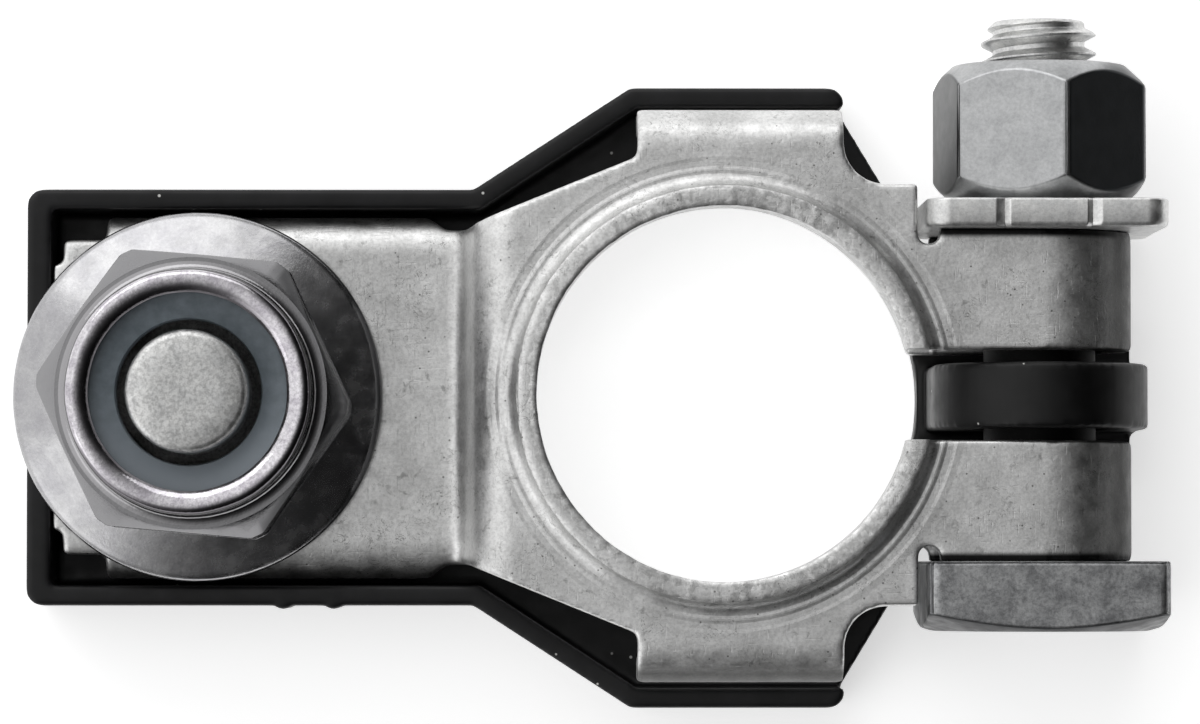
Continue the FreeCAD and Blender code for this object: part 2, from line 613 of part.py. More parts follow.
def make_clamp_washer():
    """The thick square washer against the ear, with two grooves in its upper edge."""
    body = new_body("clamp_washer")
    plan = new_sketch(body, "WasherPlan", "XY_Plane")
    draw(plan, square("sizes.washer_across"))
    plate = pad(body, "Plate", plan, "sizes.washer_thickness")
    corners = is_corner_edge("sizes.washer_across")
    rounded(body, "Corners", plate, "sizes.washer_corner", corners)
    grooves = new_sketch(body, "GroovePlan", "XY_Plane")
    edge, depth = "-sizes.washer_across / 2", "sizes.groove_depth"
    for sign in ("-", ""):
        middle = f"{sign}sizes.groove_spacing / 2"
        half = "sizes.groove_width / 2"
        path = [(f"{middle} - {half}", edge), (f"{middle} + {half}", edge), (middle, f"{edge} + {depth}")]
        draw(grooves, path)
    cut_through(body, "Grooves", grooves)
    hole = new_sketch(body, "WasherHole", "XY_Plane")
    draw_circle(hole, "0", "0", "sizes.bolt_diameter / 2 + sizes.running_clearance")
    cut_through(body, "Hole", hole)
    place(body, ("sizes.bolt_distance", EAR_REACH, AXIS_LEVEL), UPRIGHT_TO_Y)
    return body


def make_clamp_nut():
    """The tall hexagon nut, beveled at both ends."""
    body = new_body("clamp_nut")
    plan = new_sketch(body, "NutPlan", "XY_Plane")
    draw(plan, hexagon("sizes.nut_flats", "sizes.nut_turn"))
    pad(body, "Hexagon", plan, "sizes.nut_height")
    for name, height, upward in (("Outer", "sizes.nut_height", True), ("Inner", "0", False)):
        bevel = new_sketch(body, f"{name}Bevel", "XZ_Plane")
        bevel_profile(bevel, "sizes.nut_face", height, "sizes.nut_slope", "sizes.nut_flats", upward)
        turned(body, f"{name}Corners", bevel, "PartDesign::Groove")
    hole = new_sketch(body, "NutHole", "XY_Plane")
    draw_circle(hole, "0", "0", "sizes.bolt_diameter / 2 + sizes.running_clearance")
    cut_through(body, "Hole", hole)
    place(body, ("sizes.bolt_distance", f"{EAR_REACH} + sizes.washer_thickness", AXIS_LEVEL), UPRIGHT_TO_Y)
    return body


def make_stud_bolt():
    """The stud: a rectangular head between the flanges, the threaded length and a plain dog point."""
    body = new_body("stud_bolt")
    room = f"({OUTER_BEND} + sizes.stud_head_play)"
    length = f"sizes.plate_overhang - {room}"
    breadth = f"sizes.plate_reach - {room}"
    head = new_sketch(body, "HeadPlan", "XY_Plane", ("0", "0", f"-{THICKNESS}"))
    draw(head, mirrored_path([(length, breadth), (f"-({length})", breadth)]))
    pad(body, "Head", head, "sizes.stud_head_thickness", reverse=True)
    shank = new_sketch(body, "ShankProfile", "XZ_Plane")
    thread, dog = "sizes.stud_diameter / 2", "sizes.dog_diameter / 2"
    thread_end = f"{INSERT_FOOT} - sizes.thread_play"
    root = f"-{THICKNESS} - sizes.stud_head_thickness / 2"
    draw(
        shank,
        [
            ("0", root),
            (thread, root),
            (thread, f"{thread_end} - ({thread} - {dog}) / 2"),
            (dog, thread_end),
            (dog, "sizes.stud_length - sizes.dog_edge"),
            (f"{dog} - sizes.dog_edge", "sizes.stud_length"),
            ("0", "sizes.stud_length"),
        ],
    )
    turned(body, "Shank", shank)
    place(body, ("-sizes.stud_distance", "0", PLATE_LEVEL))
    return body


def make_lock_nut():
    """The lock nut: conical flange, hexagon with rounded corners, and a collar crimped over its ring."""
    body = new_body("lock_nut")
    flange = new_sketch(body, "FlangeProfile", "XZ_Plane")
    rim = "sizes.lock_flange / 2"
    draw(
        flange,
        [
            ("0", "0"),
            (rim, "0"),
            (rim, "sizes.lock_rim / 2"),
            (f"{rim} - sizes.lock_rim / 2", "sizes.lock_rim"),
            ("sizes.lock_cone_top / 2", "sizes.lock_cone"),
            ("0", "sizes.lock_cone"),
        ],
    )
    turned(body, "Flange", flange)
    plan = new_sketch(body, "HexagonPlan", "XY_Plane")
    draw(plan, hexagon("sizes.lock_flats", "sizes.lock_turn"))
    pad(body, "Hexagon", plan, "sizes.lock_hex_height")
    corner, edge = "sizes.lock_corners / 2", "sizes.lock_hex_face / 2"
    reach = "sizes.lock_flange"
    bevel = new_sketch(body, "CornerProfile", "XZ_Plane")
    drop = f"({corner} - {edge}) * tan(sizes.lock_slope * 1 deg)"
    cone_rise = "(sizes.lock_cone - sizes.lock_rim) / (sizes.lock_flange / 2 - sizes.lock_cone_top / 2)"
    cone_at_corner = f"sizes.lock_rim + ({rim} - ({corner})) * {cone_rise}"
    draw(
        bevel,
        [
            (edge, "sizes.lock_hex_height"),
            (corner, f"sizes.lock_hex_height - {drop}"),
            (corner, cone_at_corner),
            (reach, cone_at_corner),
            (reach, "sizes.lock_hex_height"),
        ],
    )
    turned(body, "TurnedCorners", bevel, "PartDesign::Groove")

    collar = new_sketch(body, "CollarProfile", "XZ_Plane")
    outside, opening = "sizes.crimp_diameter / 2", "sizes.crimp_opening / 2"
    roll_foot = "sizes.lock_height - sizes.crimp_bevel"
    draw(
        collar,
        [
            ("0", "sizes.lock_cone"),
            (outside, "sizes.lock_cone"),
            (outside, roll_foot),
            (f"{outside} - sizes.crimp_bevel", "sizes.lock_height"),
            (f"{opening} + sizes.crimp_bevel", "sizes.lock_height"),
            (opening, roll_foot),
            ("0", roll_foot),
        ],
    )
    turned(body, "Collar", collar)
    hollow = new_sketch(body, "BoreProfile", "XZ_Plane")
    bore = "sizes.stud_diameter / 2 + sizes.running_clearance"
    seat = "sizes.insert_diameter / 2 + sizes.running_clearance"
    seat_top = f"{INSERT_TOP} + sizes.running_clearance"
    seat_foot = f"{INSERT_FOOT} - sizes.running_clearance"
    draw(
        hollow,
        [
            ("0", "-sizes.lock_rim"),
            (bore, "-sizes.lock_rim"),
            (bore, seat_foot),
            (seat, seat_foot),
            (seat, seat_top),
            (opening, seat_top),
            (opening, "sizes.lock_height + sizes.crimp_lip"),
            ("0", "sizes.lock_height + sizes.crimp_lip"),
        ],
    )
    turned(body, "Bore", hollow, "PartDesign::Groove")
    place(body, ("-sizes.stud_distance", "0", PLATE_LEVEL))
    return body


def make_lock_nut_insert():
    """The nylon ring in the lock nut's collar, round the stud's dog point."""
    body = new_body("lock_nut_insert")
    ring = new_sketch(body, "RingPlan", "XY_Plane", ("0", "0", INSERT_FOOT))
    draw_circle(ring, "0", "0", "sizes.insert_diameter / 2")
    draw_circle(ring, "0", "0", "sizes.insert_bore / 2")
    pad(body, "Ring", ring, "sizes.insert_height")
    place(body, ("-sizes.stud_distance", "0", PLATE_LEVEL))
    return body


pieces = [
    make_clamp_body(),
    make_insulator_base(),
    make_clamp_bolt(),
    make_clamp_washer(),
    make_clamp_nut(),
    make_stud_bolt(),
    make_lock_nut(),
    make_lock_nut_insert(),
]
doc.recompute()

for item in doc.Objects:
    if "Invalid" in item.State or "Error" in item.State:
        raise RuntimeError(f"{item.Name} failed: {item.State}")
for piece in pieces:
    shape = piece.Shape
    if shape.isNull() or not shape.isValid() or len(shape.Solids) != 1:
        raise RuntimeError(f"{piece.Label} is not one valid solid")

os.makedirs("parts", exist_ok=True)
for piece in pieces:
    piece.Shape.exportStep(f"parts/{piece.Label}.step")
    box = piece.Shape.BoundBox
    print(
        f"{piece.Label}: {piece.Shape.Volume:.1f} mm3,",
        f"x {box.XMin:.2f}..{box.XMax:.2f},",
        f"y {box.YMin:.2f}..{box.YMax:.2f},",
        f"z {box.ZMin:.2f}..{box.ZMax:.2f}",
    )
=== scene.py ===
import math

import bmesh
import bpy
import numpy as np
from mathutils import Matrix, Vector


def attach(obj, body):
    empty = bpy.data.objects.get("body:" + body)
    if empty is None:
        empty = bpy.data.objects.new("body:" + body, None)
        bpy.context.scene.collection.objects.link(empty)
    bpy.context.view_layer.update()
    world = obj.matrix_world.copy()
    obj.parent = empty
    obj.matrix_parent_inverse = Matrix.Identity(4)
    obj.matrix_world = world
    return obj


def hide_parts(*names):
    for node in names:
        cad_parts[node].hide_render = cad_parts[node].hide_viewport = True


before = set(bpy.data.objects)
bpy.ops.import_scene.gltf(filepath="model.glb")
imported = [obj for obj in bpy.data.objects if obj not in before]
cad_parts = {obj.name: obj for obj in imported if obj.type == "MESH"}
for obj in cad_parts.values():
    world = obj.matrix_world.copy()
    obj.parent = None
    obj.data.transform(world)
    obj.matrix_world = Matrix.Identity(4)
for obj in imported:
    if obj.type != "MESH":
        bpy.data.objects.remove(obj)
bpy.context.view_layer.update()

# Tray under the clamp. One injection moulding in black plastic: floor, low walls, a tongue, and the eye that keeps
# the two ears apart. It carries the folded strip and keeps it off the battery's lid.
MM = 0.001
SAME_POINT = 0.002
TRAY_CELL = 0.19
TRAY_ROUNDS = 3
TRAY_KEPT = 0.3
TRAY_BLACK = (0.004, 0.004, 0.0045)
TRAY_WORN = (0.010, 0.010, 0.011)
TRAY_DUST = (0.62, 0.62, 0.60)
TRAY_GLOSS = 0.3
TRAY_ROUGH = 0.42
TRAY_SHEEN = [(0.3, 0.34), (0.7, 0.5)]
EYE_BLACK = (0.0012, 0.0012, 0.0013)
EYE_ROOT = (8.5, 9.5)
EDGE_SEGMENTS = 3
FLAT_WEIGHT = 80
MIX_FIRST, MIX_SECOND, MIX_RESULT = 6, 7, 2


def softened_copy(node, name, cell, rounds, kept):
    """A new mesh with a frame node's shape and soft edges.

    The node's triangles are joined, their surface is crossed with a lattice of the cell size (mm) and each crossed
    cell gives one point; each point then moves halfway to the middle of its neighbours for the given rounds. Edges
    that change the shape least are closed up last, until only the kept share of the faces is left.
    """
    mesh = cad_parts[node].data.copy()
    work = bmesh.new()
    work.from_mesh(mesh)
    bmesh.ops.remove_doubles(work, verts=work.verts, dist=SAME_POINT * MM)
    work.to_mesh(mesh)
    work.free()
    mesh.materials.clear()
    blank = bpy.data.objects.new(name + "_blank", mesh)
    bpy.context.scene.collection.objects.link(blank)
    lattice = blank.modifiers.new("cells", "REMESH")
    lattice.mode = "VOXEL"
    lattice.voxel_size = cell * MM
    soften = blank.modifiers.new("soften", "SMOOTH")
    soften.factor = 0.5
    soften.iterations = rounds
    thin = blank.modifiers.new("thin", "DECIMATE")
    thin.ratio = kept
    done = blank.evaluated_get(bpy.context.evaluated_depsgraph_get())
    made = bpy.data.meshes.new_from_object(done)
    made.name = name
    bpy.data.objects.remove(blank)
    return made


def piece(mesh, body, nodes, material, edge=0.0, angle=30):
    """A shown piece from a mesh: its edges sharper than the angle (degrees) are rounded by the edge width (mm)."""
    mesh.materials.append(material)
    mesh.polygons.foreach_set("use_smooth", np.ones(len(mesh.polygons), bool))
    made = bpy.data.objects.new(mesh.name, mesh)
    bpy.context.scene.collection.objects.link(made)
    if edge:
        rounding = made.modifiers.new("edges", "BEVEL")
        rounding.width = edge * MM
        rounding.segments = EDGE_SEGMENTS
        rounding.limit_method = "ANGLE"
        rounding.angle_limit = math.radians(angle)
        rounding.use_clamp_overlap = False
        rounding.miter_outer = "MITER_ARC"
        rounding.harden_normals = False
        flatten = made.modifiers.new("flats", "WEIGHTED_NORMAL")
        flatten.weight = FLAT_WEIGHT
        flatten.keep_sharp = True
    else:
        mesh.set_sharp_from_angle(angle=math.radians(angle))
    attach(made, body)
    if nodes:
        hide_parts(*nodes)
    return made


def finish_of(name, colour, metallic, roughness):
    """A material and its shader, with the colour, metal share and roughness set on the shader."""
    material = bpy.data.materials.new(name)
    material.use_nodes = True
    shader = material.node_tree.nodes["Principled BSDF"]
    shader.inputs["Base Color"].default_value = (*colour, 1)
    shader.inputs["Metallic"].default_value = metallic
    shader.inputs["Roughness"].default_value = roughness
    return material, shader


def grain(material, size, detail=3.0, roughness=0.55, stretch=(1, 1, 1), twist=0.0, turn=0.0):
    """Cloudy noise on object coordinates, with features about size (mm) wide, longer along an axis stretched > 1."""
    nodes, links = material.node_tree.nodes, material.node_tree.links
    place = nodes.new("ShaderNodeTexCoord")
    scale = nodes.new("ShaderNodeMapping")
    scale.inputs["Rotation"].default_value = (0, 0, math.radians(turn))
    scale.inputs["Scale"].default_value = tuple(1 / (size * MM * part) for part in stretch)
    cloud = nodes.new("ShaderNodeTexNoise")
    cloud.inputs["Scale"].default_value = 1.0
    cloud.inputs["Detail"].default_value = detail
    cloud.inputs["Roughness"].default_value = roughness
    cloud.inputs["Distortion"].default_value = twist
    links.new(place.outputs["Object"], scale.inputs["Vector"])
    links.new(scale.outputs["Vector"], cloud.inputs["Vector"])
    return cloud.outputs["Fac"]


def specks(material, size, share, soft):
    """1 inside small round specks, 0 elsewhere: cells of a Voronoi pattern nearer than a share of their size (mm)."""
    nodes, links = material.node_tree.nodes, material.node_tree.links
    place = nodes.new("ShaderNodeTexCoord")
    cells = nodes.new("ShaderNodeTexVoronoi")
    cells.inputs["Scale"].default_value = 1 / (size * MM)
    links.new(place.outputs["Object"], cells.inputs["Vector"])
    return ramp(material, cells.outputs["Distance"], [(share, 1.0), (share + soft, 0.0)])


def ramp(material, factor, stops):
    """The factor through a ramp of (position, grey value or colour) stops."""
    nodes, links = material.node_tree.nodes, material.node_tree.links
    made = nodes.new("ShaderNodeValToRGB")
    while len(made.color_ramp.elements) < len(stops):
        made.color_ramp.elements.new(0.5)
    for element, (position, value) in zip(made.color_ramp.elements, stops):
        colour = value if isinstance(value, tuple) else (value,) * 3
        element.position = position
        element.color = (*colour, 1)
    links.new(factor, made.inputs["Fac"])
    return made.outputs["Color"]


def rise(material, space, axis, start, end):
    """0 up to the start value on the axis of a texture coordinate, 1 from the end value on, a smooth step between."""
    nodes, links = material.node_tree.nodes, material.node_tree.links
    place = nodes.new("ShaderNodeTexCoord")
    parts = nodes.new("ShaderNodeSeparateXYZ")
    share = nodes.new("ShaderNodeMapRange")
    share.interpolation_type = "SMOOTHSTEP"
    share.inputs["From Min"].default_value = start
    share.inputs["From Max"].default_value = end
    links.new(place.outputs[space], parts.inputs["Vector"])
    links.new(parts.outputs[axis], share.inputs["Value"])
    return share.outputs["Result"]


def along(material, axis, start, end):
    """0 where the object's coordinate (mm) on the axis is at the start or before it, 1 from the end on."""
    return rise(material, "Object", axis, start * MM, end * MM)


def blended(material, factor, first, second, how="MIX"):
    """Two colours mixed by a factor; each may be a socket, a colour or a grey value."""
    nodes, links = material.node_tree.nodes, material.node_tree.links
    made = nodes.new("ShaderNodeMix")
    made.data_type = "RGBA"
    made.blend_type = how
    sockets = made.inputs["Factor"], made.inputs[MIX_FIRST], made.inputs[MIX_SECOND]
    for socket, value in zip(sockets, (factor, first, second)):
        if isinstance(value, bpy.types.NodeSocket):
            links.new(value, socket)
        elif isinstance(value, tuple):
            socket.default_value = (*value, 1)
        else:
            socket.default_value = value if socket.type == "VALUE" else (value, value, value, 1)
    return made.outputs[MIX_RESULT]


def relief(material, shader, layers):
    """Bumps one over another on the shader's normal: each layer is (height socket, depth in mm, strength)."""
    nodes, links = material.node_tree.nodes, material.node_tree.links
    before = None
    for height, depth, strength in layers:
        bump = nodes.new("ShaderNodeBump")
        bump.inputs["Distance"].default_value = depth * MM
        bump.inputs["Strength"].default_value = strength
        links.new(height, bump.inputs["Height"])
        if before is not None:
            links.new(before, bump.inputs["Normal"])
        before = bump.outputs["Normal"]
    links.new(before, shader.inputs["Normal"])


black_plastic, shader = finish_of("black_plastic", TRAY_BLACK, 0.0, TRAY_ROUGH)
shader.inputs["Specular IOR Level"].default_value = TRAY_GLOSS
links = black_plastic.node_tree.links
rub = ramp(black_plastic, grain(black_plastic, size=2.2, detail=5, roughness=0.6), [(0.45, 0.0), (0.75, 1.0)])
dust = specks(black_plastic, size=1.5, share=0.04, soft=0.02)
body_colour = blended(black_plastic, rub, TRAY_BLACK, TRAY_WORN)
# Painted shade: the tray from the eye between the ears on towards +X gets a darker black than the rest.
body_colour = blended(black_plastic, along(black_plastic, "X", *EYE_ROOT), body_colour, EYE_BLACK)
links.new(blended(black_plastic, dust, body_colour, TRAY_DUST), shader.inputs["Base Color"])
links.new(ramp(black_plastic, grain(black_plastic, size=1.3, detail=4), TRAY_SHEEN), shader.inputs["Roughness"])
sink_marks = (grain(black_plastic, size=4.0, detail=2), 0.05, 0.5)
mould_grain = (grain(black_plastic, size=0.12, detail=2), 0.004, 0.5)
relief(black_plastic, shader, [sink_marks, mould_grain])
tray = piece(
    softened_copy("insulator_base", "tray", TRAY_CELL, TRAY_ROUNDS, TRAY_KEPT),
    "clamp",
    ["insulator_base"],
    black_plastic,
    angle=180,
)

# Clamp body. One strip of tin-plated steel, pierced, drawn up round the post, folded back on itself round the bolt
# and bent down at its sides; its sheared edges are rolled over by the die.
SHEET_CELL = 0.17
SHEET_ROUNDS = 8
SHEET_KEPT = 0.35
TIN_LIGHT = (0.80, 0.80, 0.795)
TIN_DARK = (0.62, 0.62, 0.615)
TIN_SCUFF = (0.15, 0.15, 0.146)
TIN_FOLD = (0.035, 0.035, 0.034)
TIN_BEND = (0.12, 0.12, 0.118)
TIN_ROUGH = 0.4
TIN_SHEEN = [(0.3, 0.34), (0.7, 0.50)]
TIN_SPECKLE = [(0.36, 0.80), (0.60, 1.0)]
FOLD_SPAN = (17.2, 20.6)
FOLD_LEVELS = (-5.2, -3.6)
TAB_BEND = (-13.6, -14.3)
BEND_LEVELS = (-2.2, -1.6)
EAR_ROOT = (10.0, 10.6)
# Painted shadow: a band on the ears' edges next to the washer and the bolt's head, and its colour.
EAR_DIRT = (7.95, 8.25)
EAR_GREASE = (0.02, 0.02, 0.02)
RING_MARKS = (10.5, 13.0)
RING_HEIGHTS = [
    (0.0, 0.2),
    (0.32, 0.2),
    (0.385, 1.0),
    (0.42, 0.95),
    (0.48, 0.25),
    (0.60, 0.2),
    (0.67, 0.5),
    (0.8, 0.2),
]
SCRATCH = [(0.64, 1.0), (0.70, 0.0)]


def product(material, first, second):
    """Two factors or colours multiplied."""
    return blended(material, 1.0, first, second, "MULTIPLY")


def hairlines(material, size, width):
    """Fine wandering lines where cloudy noise passes its middle value, in patches four times as large."""
    half = grain(material, size, detail=4, roughness=0.6, twist=1.2)
    line = ramp(material, half, [(0.5 - width, 0.0), (0.5, 1.0), (0.5 + width, 0.0)])
    patch = ramp(material, grain(material, 4 * size, detail=2), [(0.50, 0.0), (0.60, 1.0)])
    return product(material, line, patch)


def draw_marks(material):
    """Heights of the rings that the drawing die leaves round the post: a sharp one and a faint one further out."""
    nodes, links = material.node_tree.nodes, material.node_tree.links
    place = nodes.new("ShaderNodeTexCoord")
    level = nodes.new("ShaderNodeMapping")
    level.inputs["Scale"].default_value = (1, 1, 0)
    distance = nodes.new("ShaderNodeVectorMath")
    distance.operation = "LENGTH"
    share = nodes.new("ShaderNodeMapRange")
    share.inputs["From Min"].default_value = RING_MARKS[0] * MM
    share.inputs["From Max"].default_value = RING_MARKS[1] * MM
    links.new(place.outputs["Object"], level.inputs["Vector"])
    links.new(level.outputs["Vector"], distance.inputs[0])
    links.new(distance.outputs["Value"], share.inputs["Value"])
    return ramp(material, share.outputs["Result"], RING_HEIGHTS)


def tin_finish(name, scuffing, rough_cut=0.0):
    """Dull tin plate: cloudy grey, small dark scuffs, hairlines, short scratches and a fine pickled grain.

    It has painted shade on top of the ears' loops and on the lower tab's bend, and a painted shadow on the ears' edges
    beside the washer and the bolt's head. rough_cut adds the torn patches of a sheared edge.
    """
    material, shader = finish_of(name, TIN_LIGHT, 1.0, TIN_ROUGH)
    links = material.node_tree.links
    cloud = grain(material, size=2.6, detail=5, roughness=0.6)
    scuffs = grain(material, size=0.75, detail=5, roughness=0.68, twist=0.6)
    tears = grain(material, size=0.55, detail=4, roughness=0.7, twist=0.8)
    plate = blended(material, ramp(material, cloud, [(0.35, 0.0), (0.65, 1.0)]), TIN_DARK, TIN_LIGHT)
    scuffed = blended(material, ramp(material, scuffs, [(0.60, 0.0), (0.70, scuffing)]), plate, TIN_SCUFF)
    torn = blended(material, ramp(material, tears, [(0.40, rough_cut), (0.56, 0.0)]), scuffed, TIN_SCUFF)
    colour = blended(material, hairlines(material, size=0.9, width=0.008), torn, TIN_SCUFF)
    # Painted shade: the tops of the ears' loops, where they turn down towards +X, are made nearly black.
    on_fold = product(material, along(material, "X", *FOLD_SPAN), along(material, "Z", *FOLD_LEVELS))
    colour = blended(material, on_fold, colour, TIN_FOLD)
    # Painted shade: the lower tab's bend is made darker.
    on_bend = product(material, along(material, "Y", *TAB_BEND), along(material, "Z", *BEND_LEVELS))
    colour = blended(material, on_bend, colour, TIN_BEND)
    # Painted shadow: a near-black band on the ears' edges next to the washer and the bolt's head.
    on_ears = along(material, "X", *EAR_ROOT)
    for side in (1, -1):
        beside = along(material, "Y", side * EAR_DIRT[0], side * EAR_DIRT[1])
        colour = blended(material, product(material, beside, on_ears), colour, EAR_GREASE)
    colour = blended(material, specks(material, size=0.7, share=0.04, soft=0.05), colour, TIN_SCUFF)
    speckle = ramp(material, grain(material, size=0.18, detail=3, roughness=0.7), TIN_SPECKLE)
    links.new(product(material, colour, speckle), shader.inputs["Base Color"])
    links.new(ramp(material, grain(material, size=0.9, detail=4), TIN_SHEEN), shader.inputs["Roughness"])
    lengthways = grain(material, size=0.10, detail=2, roughness=0.5, stretch=(14, 1, 1), turn=27)
    crossways = grain(material, size=0.10, detail=2, roughness=0.5, stretch=(1, 12, 1), turn=-12)
    layers = [
        (grain(material, size=3.2, detail=3), 0.10, 0.5),
        (grain(material, size=0.7, detail=4, roughness=0.65), 0.025 + 0.05 * rough_cut, 0.55),
        (ramp(material, lengthways, SCRATCH), 0.010, 0.4),
        (ramp(material, crossways, SCRATCH), 0.010, 0.4),
        (grain(material, size=0.16, detail=3, roughness=0.6), 0.006, 0.6),
    ]
    relief(material, shader, layers if rough_cut else [(draw_marks(material), 0.05, 0.8), *layers])
    return material


tinned_strip = tin_finish("tinned_strip", scuffing=0.55)
strip = piece(
    softened_copy("clamp_body", "strip", SHEET_CELL, SHEET_ROUNDS, SHEET_KEPT),
    "clamp",
    ["clamp_body"],
    tinned_strip,
    angle=180,
)

# Collar round the battery post. It is drawn up out of the same strip and sheared off level, so that its end face is
# rough and a little wavy; the slit between the ears cuts through it.
POST_RADIUS = 9.6
COLLAR_WALL = 1.05
COLLAR_TOP = 1.46
COLLAR_FOOT = 0.7
COLLAR_LEAN = 0.08
LEAN_CENTRE = 0.5
COLLAR_COLUMNS = 361
SHEET = 1.4
HALF_SLIT = 2.32
SUNK = 0.02
FOOT_LEVEL = -0.03
SEAM = 0.0005
RAGGED_LEVELS = (0.7, 1.4)
# Rows of its profile: in from the wall's outside or out from the hole's edge, and up from its top or from the plate.
COLLAR_OUTSIDE = [(0, -0.2), (0.05, -0.06), (0.16, -0.01), (0.32, 0.0), (0.55, 0.01)]
COLLAR_INSIDE = [(0.25, 0.01), (0.1, 0.0), (-0.01, -0.07), (-0.03, -0.35)]
COLLAR_BACK = [(-0.03, 0.3 - SHEET), (0.2, 0.3 - SHEET), (0.6, -0.35)]
# Waves of its end face: size in millimetres, numbers of waves round the collar, seed.
COLLAR_SWAY = [(0.035, (3, 7, 13, 22, 41), 4), (0.015, (60, 77, 95), 5)]
COLLAR_HEAVE = [(0.03, (2, 5, 17, 29), 6), (0.02, (48, 71, 88), 7)]


def surface(name, points, round_closed=True, down_closed=False, lids=()):
    """A mesh over a grid of points in millimetres, rows by columns by 3.

    Each cell of the grid is a face of its four corners; lids are lists of corners that one more face closes.
    """
    rows, columns = points.shape[:2]
    down, across = np.meshgrid(
        np.arange(rows if down_closed else rows - 1),
        np.arange(columns if round_closed else columns - 1),
        indexing="ij",
    )
    down, across = down.ravel(), across.ravel()
    below, beside = (down + 1) % rows, (across + 1) % columns
    corners = [down * columns + across, down * columns + beside, below * columns + beside, below * columns + across]
    faces = np.stack(corners, axis=1).tolist() + [list(lid) for lid in lids]
    mesh = bpy.data.meshes.new(name)
    mesh.from_pydata((points.reshape(-1, 3) * MM).tolist(), [], faces)
    work = bmesh.new()
    work.from_mesh(mesh)
    bmesh.ops.remove_doubles(work, verts=work.verts, dist=SEAM * MM)
    open_edges = [edge for edge in work.edges if edge.is_boundary]
    if open_edges:
        bmesh.ops.holes_fill(work, edges=open_edges, sides=0)
    bmesh.ops.recalc_face_normals(work, faces=work.faces)
    work.to_mesh(mesh)
    work.free()
    return mesh


def ripple(angle, waves, seed):
    """A smooth repeating wobble of size about 1: a sum of sines with whole numbers of waves and set phases."""
    chance = np.random.default_rng(seed)
    phases, sizes = chance.uniform(0, 2 * np.pi, len(waves)), chance.uniform(0.5, 1.0, len(waves))
    return sum(size * np.sin(wave * angle + phase) for wave, phase, size in zip(waves, phases, sizes)) / len(waves)


def collar_points():
    """The collar's closed profile turned round the post from one side of the slit to the other.

    Each profile point keeps its radius and height, but for a small wobble and a lean of the end face towards -X;
    its first and last columns lie on the slit's two faces, so an end's angle is the arc sine of half the slit over
    the radius.
    """
    wall, foot = POST_RADIUS + COLLAR_WALL, COLLAR_FOOT
    hollow = np.linspace(0, np.pi / 2, 7)
    outside, inside, back = (np.array(rows).T for rows in (COLLAR_OUTSIDE, COLLAR_INSIDE, COLLAR_BACK))
    radius = np.concatenate(
        [wall + foot - foot * np.sin(hollow), wall - outside[0], POST_RADIUS + inside[0], POST_RADIUS + back[0]]
    )
    height = np.concatenate(
        [foot - foot * np.cos(hollow) - SUNK * np.cos(hollow), COLLAR_TOP + outside[1], COLLAR_TOP + inside[1], back[1]]
    )
    height[0] = FOOT_LEVEL
    share = np.linspace(0, 1, COLLAR_COLUMNS)[None, :]
    start = np.arcsin(HALF_SLIT / radius)[:, None]
    angle = start + (2 * np.pi - 2 * start) * share
    low, high = RAGGED_LEVELS
    top = np.clip((height[:, None] - low) / (high - low), 0, 1)
    sway = sum(size * ripple(angle, waves, seed) for size, waves, seed in COLLAR_SWAY)
    heave = sum(size * ripple(angle, waves, seed) for size, waves, seed in COLLAR_HEAVE)
    up = top * heave + top * COLLAR_LEAN * (radius[:, None] - POST_RADIUS - LEAN_CENTRE) * np.cos(angle)
    reach, level = radius[:, None] + top * sway, height[:, None] + up - SUNK * top
    across = reach * np.sin(angle)
    across[:, 0], across[:, -1] = HALF_SLIT, -HALF_SLIT
    return np.stack([reach * np.cos(angle), across, level], axis=2)


profile = collar_points()
corners = profile.shape[0] * COLLAR_COLUMNS
ends = [range(0, corners, COLLAR_COLUMNS), range(COLLAR_COLUMNS - 1, corners, COLLAR_COLUMNS)]
collar_tin = tin_finish("collar_tin", scuffing=0.5, rough_cut=0.35)
collar = piece(
    surface("collar", profile, round_closed=False, down_closed=True, lids=ends),
    "clamp",
    [],
    collar_tin,
)

# Cable stud. Zinc-plated M8 steel stud with a rolled thread and a plain dog point; its flat head lies between the
# plate's side flanges, under the sheet.
STUD_X = -27.1
PLATE_TOP = -4.75
STUD_TOP = 5.85
STUD_THREAD = (8.0, 1.25)
STUD_THREAD_LEVELS = (PLATE_TOP - 3.2, STUD_TOP - 3.3)
STUD_DOG = 3.1
# Rows of the dog point: in from its side and up from the stud's top; then its dents, as for the collar.
DOG_END = [(0, -3.6), (0, -0.42), (0.05, -0.25), (0.18, -0.09), (0.38, -0.01), (1.5, 0), (2.4, 0)]
DOG_DENTS = (0.03, (5, 9, 16, 27), 12)
DENTED_FROM = -0.3
STUD_HEAD_SPAN = (-32.5, -21.7)
STUD_HEAD_REACH = 7.3
STUD_HEAD_LEVELS = (-8.75, -6.15)
THREAD_STEPS = 20
THREAD_COLUMNS = 73
THREAD_DEPTH = 0.61
THREAD_CREST = 0.125
THREAD_FLANK = 0.625
ZINC_DULL = (0.74, 0.74, 0.73)
ZINC_DARK = (0.50, 0.505, 0.51)


def full_turn(columns):
    """One row of angles all the way round, without the last one, which is the first again."""
    return np.linspace(0, 2 * np.pi, columns, endpoint=False)[None, :]


def on_stud(angle, radius, level):
    """Points round the stud's axis: the level runs along +Z, and the angle turns from +X to +Y."""
    angle, radius, level = np.broadcast_arrays(angle, radius, level)
    return np.stack([STUD_X + radius * np.cos(angle), radius * np.sin(angle), level], axis=2)


